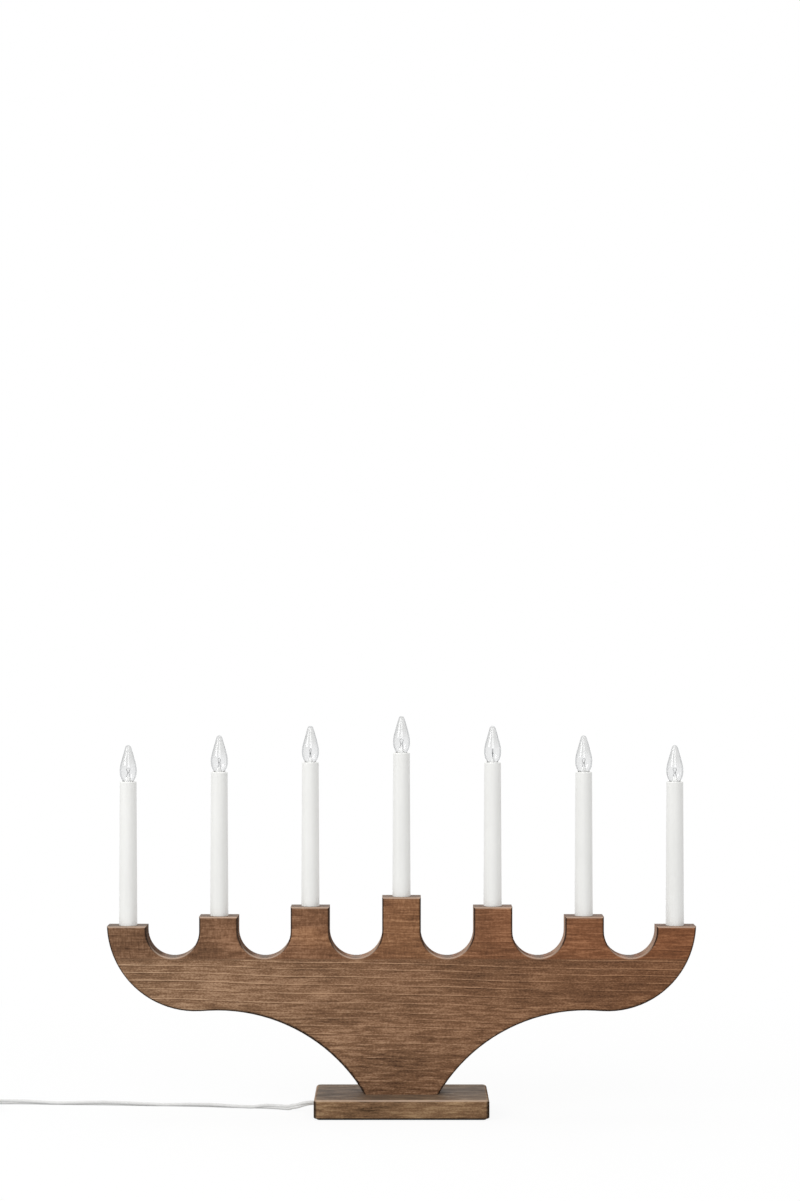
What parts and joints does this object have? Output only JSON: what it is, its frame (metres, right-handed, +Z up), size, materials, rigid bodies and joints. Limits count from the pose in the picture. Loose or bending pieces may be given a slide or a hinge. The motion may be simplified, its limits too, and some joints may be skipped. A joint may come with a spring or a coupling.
{
  "type": "candle arch",
  "caption": "Wooden arch on a rectangular foot with upright stubs carrying white electric candles with screw-in clear flame bulbs, and a flat mains cord.",
  "frame": {"origin": "on the table, under the middle of the foot", "axes": "+X along the row of candles to the viewer's right, +Y away from the viewer, +Z up"},
  "size_m": [0.8575, 0.1029, 0.3959],
  "materials": {
    "stained_wood": "satin stain",
    "fibreboard": "raw",
    "sleeve_plastic": "satin",
    "clear_glass": "clear",
    "bare_brass": "satin",
    "solder": "satin",
    "filament_wire": "bare",
    "screw_steel": "zinc",
    "felt": "felt",
    "holder_plastic": "matt",
    "wire_sleeve": "matt",
    "cord_sheath": "satin",
    "plug_plastic": "satin",
    "pin_metal": "nickel",
    "tie_plastic": "matt"
  },
  "bodies": {
    "arch": {"arch_board": "stained_wood", "foot_block": "stained_wood", "rear_cover": "stained_wood", "rear_cover_screws": "screw_steel", "foot_screws": "screw_steel", "base_plate": "fibreboard", "base_plate_screws": "screw_steel", "felt_base": "felt", "cord_bush": "holder_plastic", "cord_clamp": "holder_plastic", "cord_clamp_screws": "screw_steel", "terminal_block": "holder_plastic", "inner_cord": "cord_sheath", "link_wires": "wire_sleeve", "feed_wires": "wire_sleeve", "socket_shells": "bare_brass", "socket_bodies": "holder_plastic", "socket_contacts": "bare_brass", "cord_run": "cord_sheath", "cord_coil": "cord_sheath", "coil_tie": "tie_plastic", "plug_body": "plug_plastic", "plug_pins": "pin_metal", "candle_sleeve_1": "sleeve_plastic", "candle_sleeve_2": "sleeve_plastic", "candle_sleeve_3": "sleeve_plastic", "candle_sleeve_4": "sleeve_plastic", "candle_sleeve_5": "sleeve_plastic", "candle_sleeve_6": "sleeve_plastic", "candle_sleeve_7": "sleeve_plastic"},
    "bulb_1_end": {"bulb_contact_1": "solder"},
    "bulb_1": {"bulb_glass_1": "clear_glass", "bulb_cap_1": "bare_brass", "bulb_filament_1": "filament_wire"},
    "bulb_2_end": {"bulb_contact_2": "solder"},
    "bulb_2": {"bulb_glass_2": "clear_glass", "bulb_cap_2": "bare_brass", "bulb_filament_2": "filament_wire"},
    "bulb_3_end": {"bulb_contact_3": "solder"},
    "bulb_3": {"bulb_glass_3": "clear_glass", "bulb_cap_3": "bare_brass", "bulb_filament_3": "filament_wire"},
    "bulb_4_end": {"bulb_contact_4": "solder"},
    "bulb_4": {"bulb_glass_4": "clear_glass", "bulb_cap_4": "bare_brass", "bulb_filament_4": "filament_wire"},
    "bulb_5_end": {"bulb_contact_5": "solder"},
    "bulb_5": {"bulb_glass_5": "clear_glass", "bulb_cap_5": "bare_brass", "bulb_filament_5": "filament_wire"},
    "bulb_6_end": {"bulb_contact_6": "solder"},
    "bulb_6": {"bulb_glass_6": "clear_glass", "bulb_cap_6": "bare_brass", "bulb_filament_6": "filament_wire"},
    "bulb_7_end": {"bulb_contact_7": "solder"},
    "bulb_7": {"bulb_glass_7": "clear_glass", "bulb_cap_7": "bare_brass", "bulb_filament_7": "filament_wire"}
  },
  "joints": [
    {"name": "bulb_1_lift", "type": "slide", "parent": "arch", "child": "bulb_1_end", "axis": [0, 0, 1], "range_m": [0, 0.00635]},
    {"name": "bulb_1_turn", "type": "hinge", "parent": "bulb_1_end", "child": "bulb_1", "pos_m": [-0.2733, 0, 0.3306], "axis": [0, 0, 1], "range_deg": [0, 1260]},
    {"name": "bulb_2_lift", "type": "slide", "parent": "arch", "child": "bulb_2_end", "axis": [0, 0, 1], "range_m": [0, 0.00635]},
    {"name": "bulb_2_turn", "type": "hinge", "parent": "bulb_2_end", "child": "bulb_2", "pos_m": [-0.1822, 0, 0.34025], "axis": [0, 0, 1], "range_deg": [0, 1260]},
    {"name": "bulb_3_lift", "type": "slide", "parent": "arch", "child": "bulb_3_end", "axis": [0, 0, 1], "range_m": [0, 0.00635]},
    {"name": "bulb_3_turn", "type": "hinge", "parent": "bulb_3_end", "child": "bulb_3", "pos_m": [-0.0911, 0, 0.3499], "axis": [0, 0, 1], "range_deg": [0, 1260]},
    {"name": "bulb_4_lift", "type": "slide", "parent": "arch", "child": "bulb_4_end", "axis": [0, 0, 1], "range_m": [0, 0.00635]},
    {"name": "bulb_4_turn", "type": "hinge", "parent": "bulb_4_end", "child": "bulb_4", "pos_m": [0, 0, 0.35955], "axis": [0, 0, 1], "range_deg": [0, 1260]},
    {"name": "bulb_5_lift", "type": "slide", "parent": "arch", "child": "bulb_5_end", "axis": [0, 0, 1], "range_m": [0, 0.00635]},
    {"name": "bulb_5_turn", "type": "hinge", "parent": "bulb_5_end", "child": "bulb_5", "pos_m": [0.0911, 0, 0.3499], "axis": [0, 0, 1], "range_deg": [0, 1260]},
    {"name": "bulb_6_lift", "type": "slide", "parent": "arch", "child": "bulb_6_end", "axis": [0, 0, 1], "range_m": [0, 0.00635]},
    {"name": "bulb_6_turn", "type": "hinge", "parent": "bulb_6_end", "child": "bulb_6", "pos_m": [0.1822, 0, 0.34025], "axis": [0, 0, 1], "range_deg": [0, 1260]},
    {"name": "bulb_7_lift", "type": "slide", "parent": "arch", "child": "bulb_7_end", "axis": [0, 0, 1], "range_m": [0, 0.00635]},
    {"name": "bulb_7_turn", "type": "hinge", "parent": "bulb_7_end", "child": "bulb_7", "pos_m": [0.2733, 0, 0.3306], "axis": [0, 0, 1], "range_deg": [0, 1260]}
  ],
  "couplings": [
    {"joint": "bulb_1_turn", "follows": "bulb_1_lift", "rad_per_m": 3463.7},
    {"joint": "bulb_2_turn", "follows": "bulb_2_lift", "rad_per_m": 3463.7},
    {"joint": "bulb_3_turn", "follows": "bulb_3_lift", "rad_per_m": 3463.7},
    {"joint": "bulb_4_turn", "follows": "bulb_4_lift", "rad_per_m": 3463.7},
    {"joint": "bulb_5_turn", "follows": "bulb_5_lift", "rad_per_m": 3463.7},
    {"joint": "bulb_6_turn", "follows": "bulb_6_lift", "rad_per_m": 3463.7},
    {"joint": "bulb_7_turn", "follows": "bulb_7_lift", "rad_per_m": 3463.7}
  ]
}
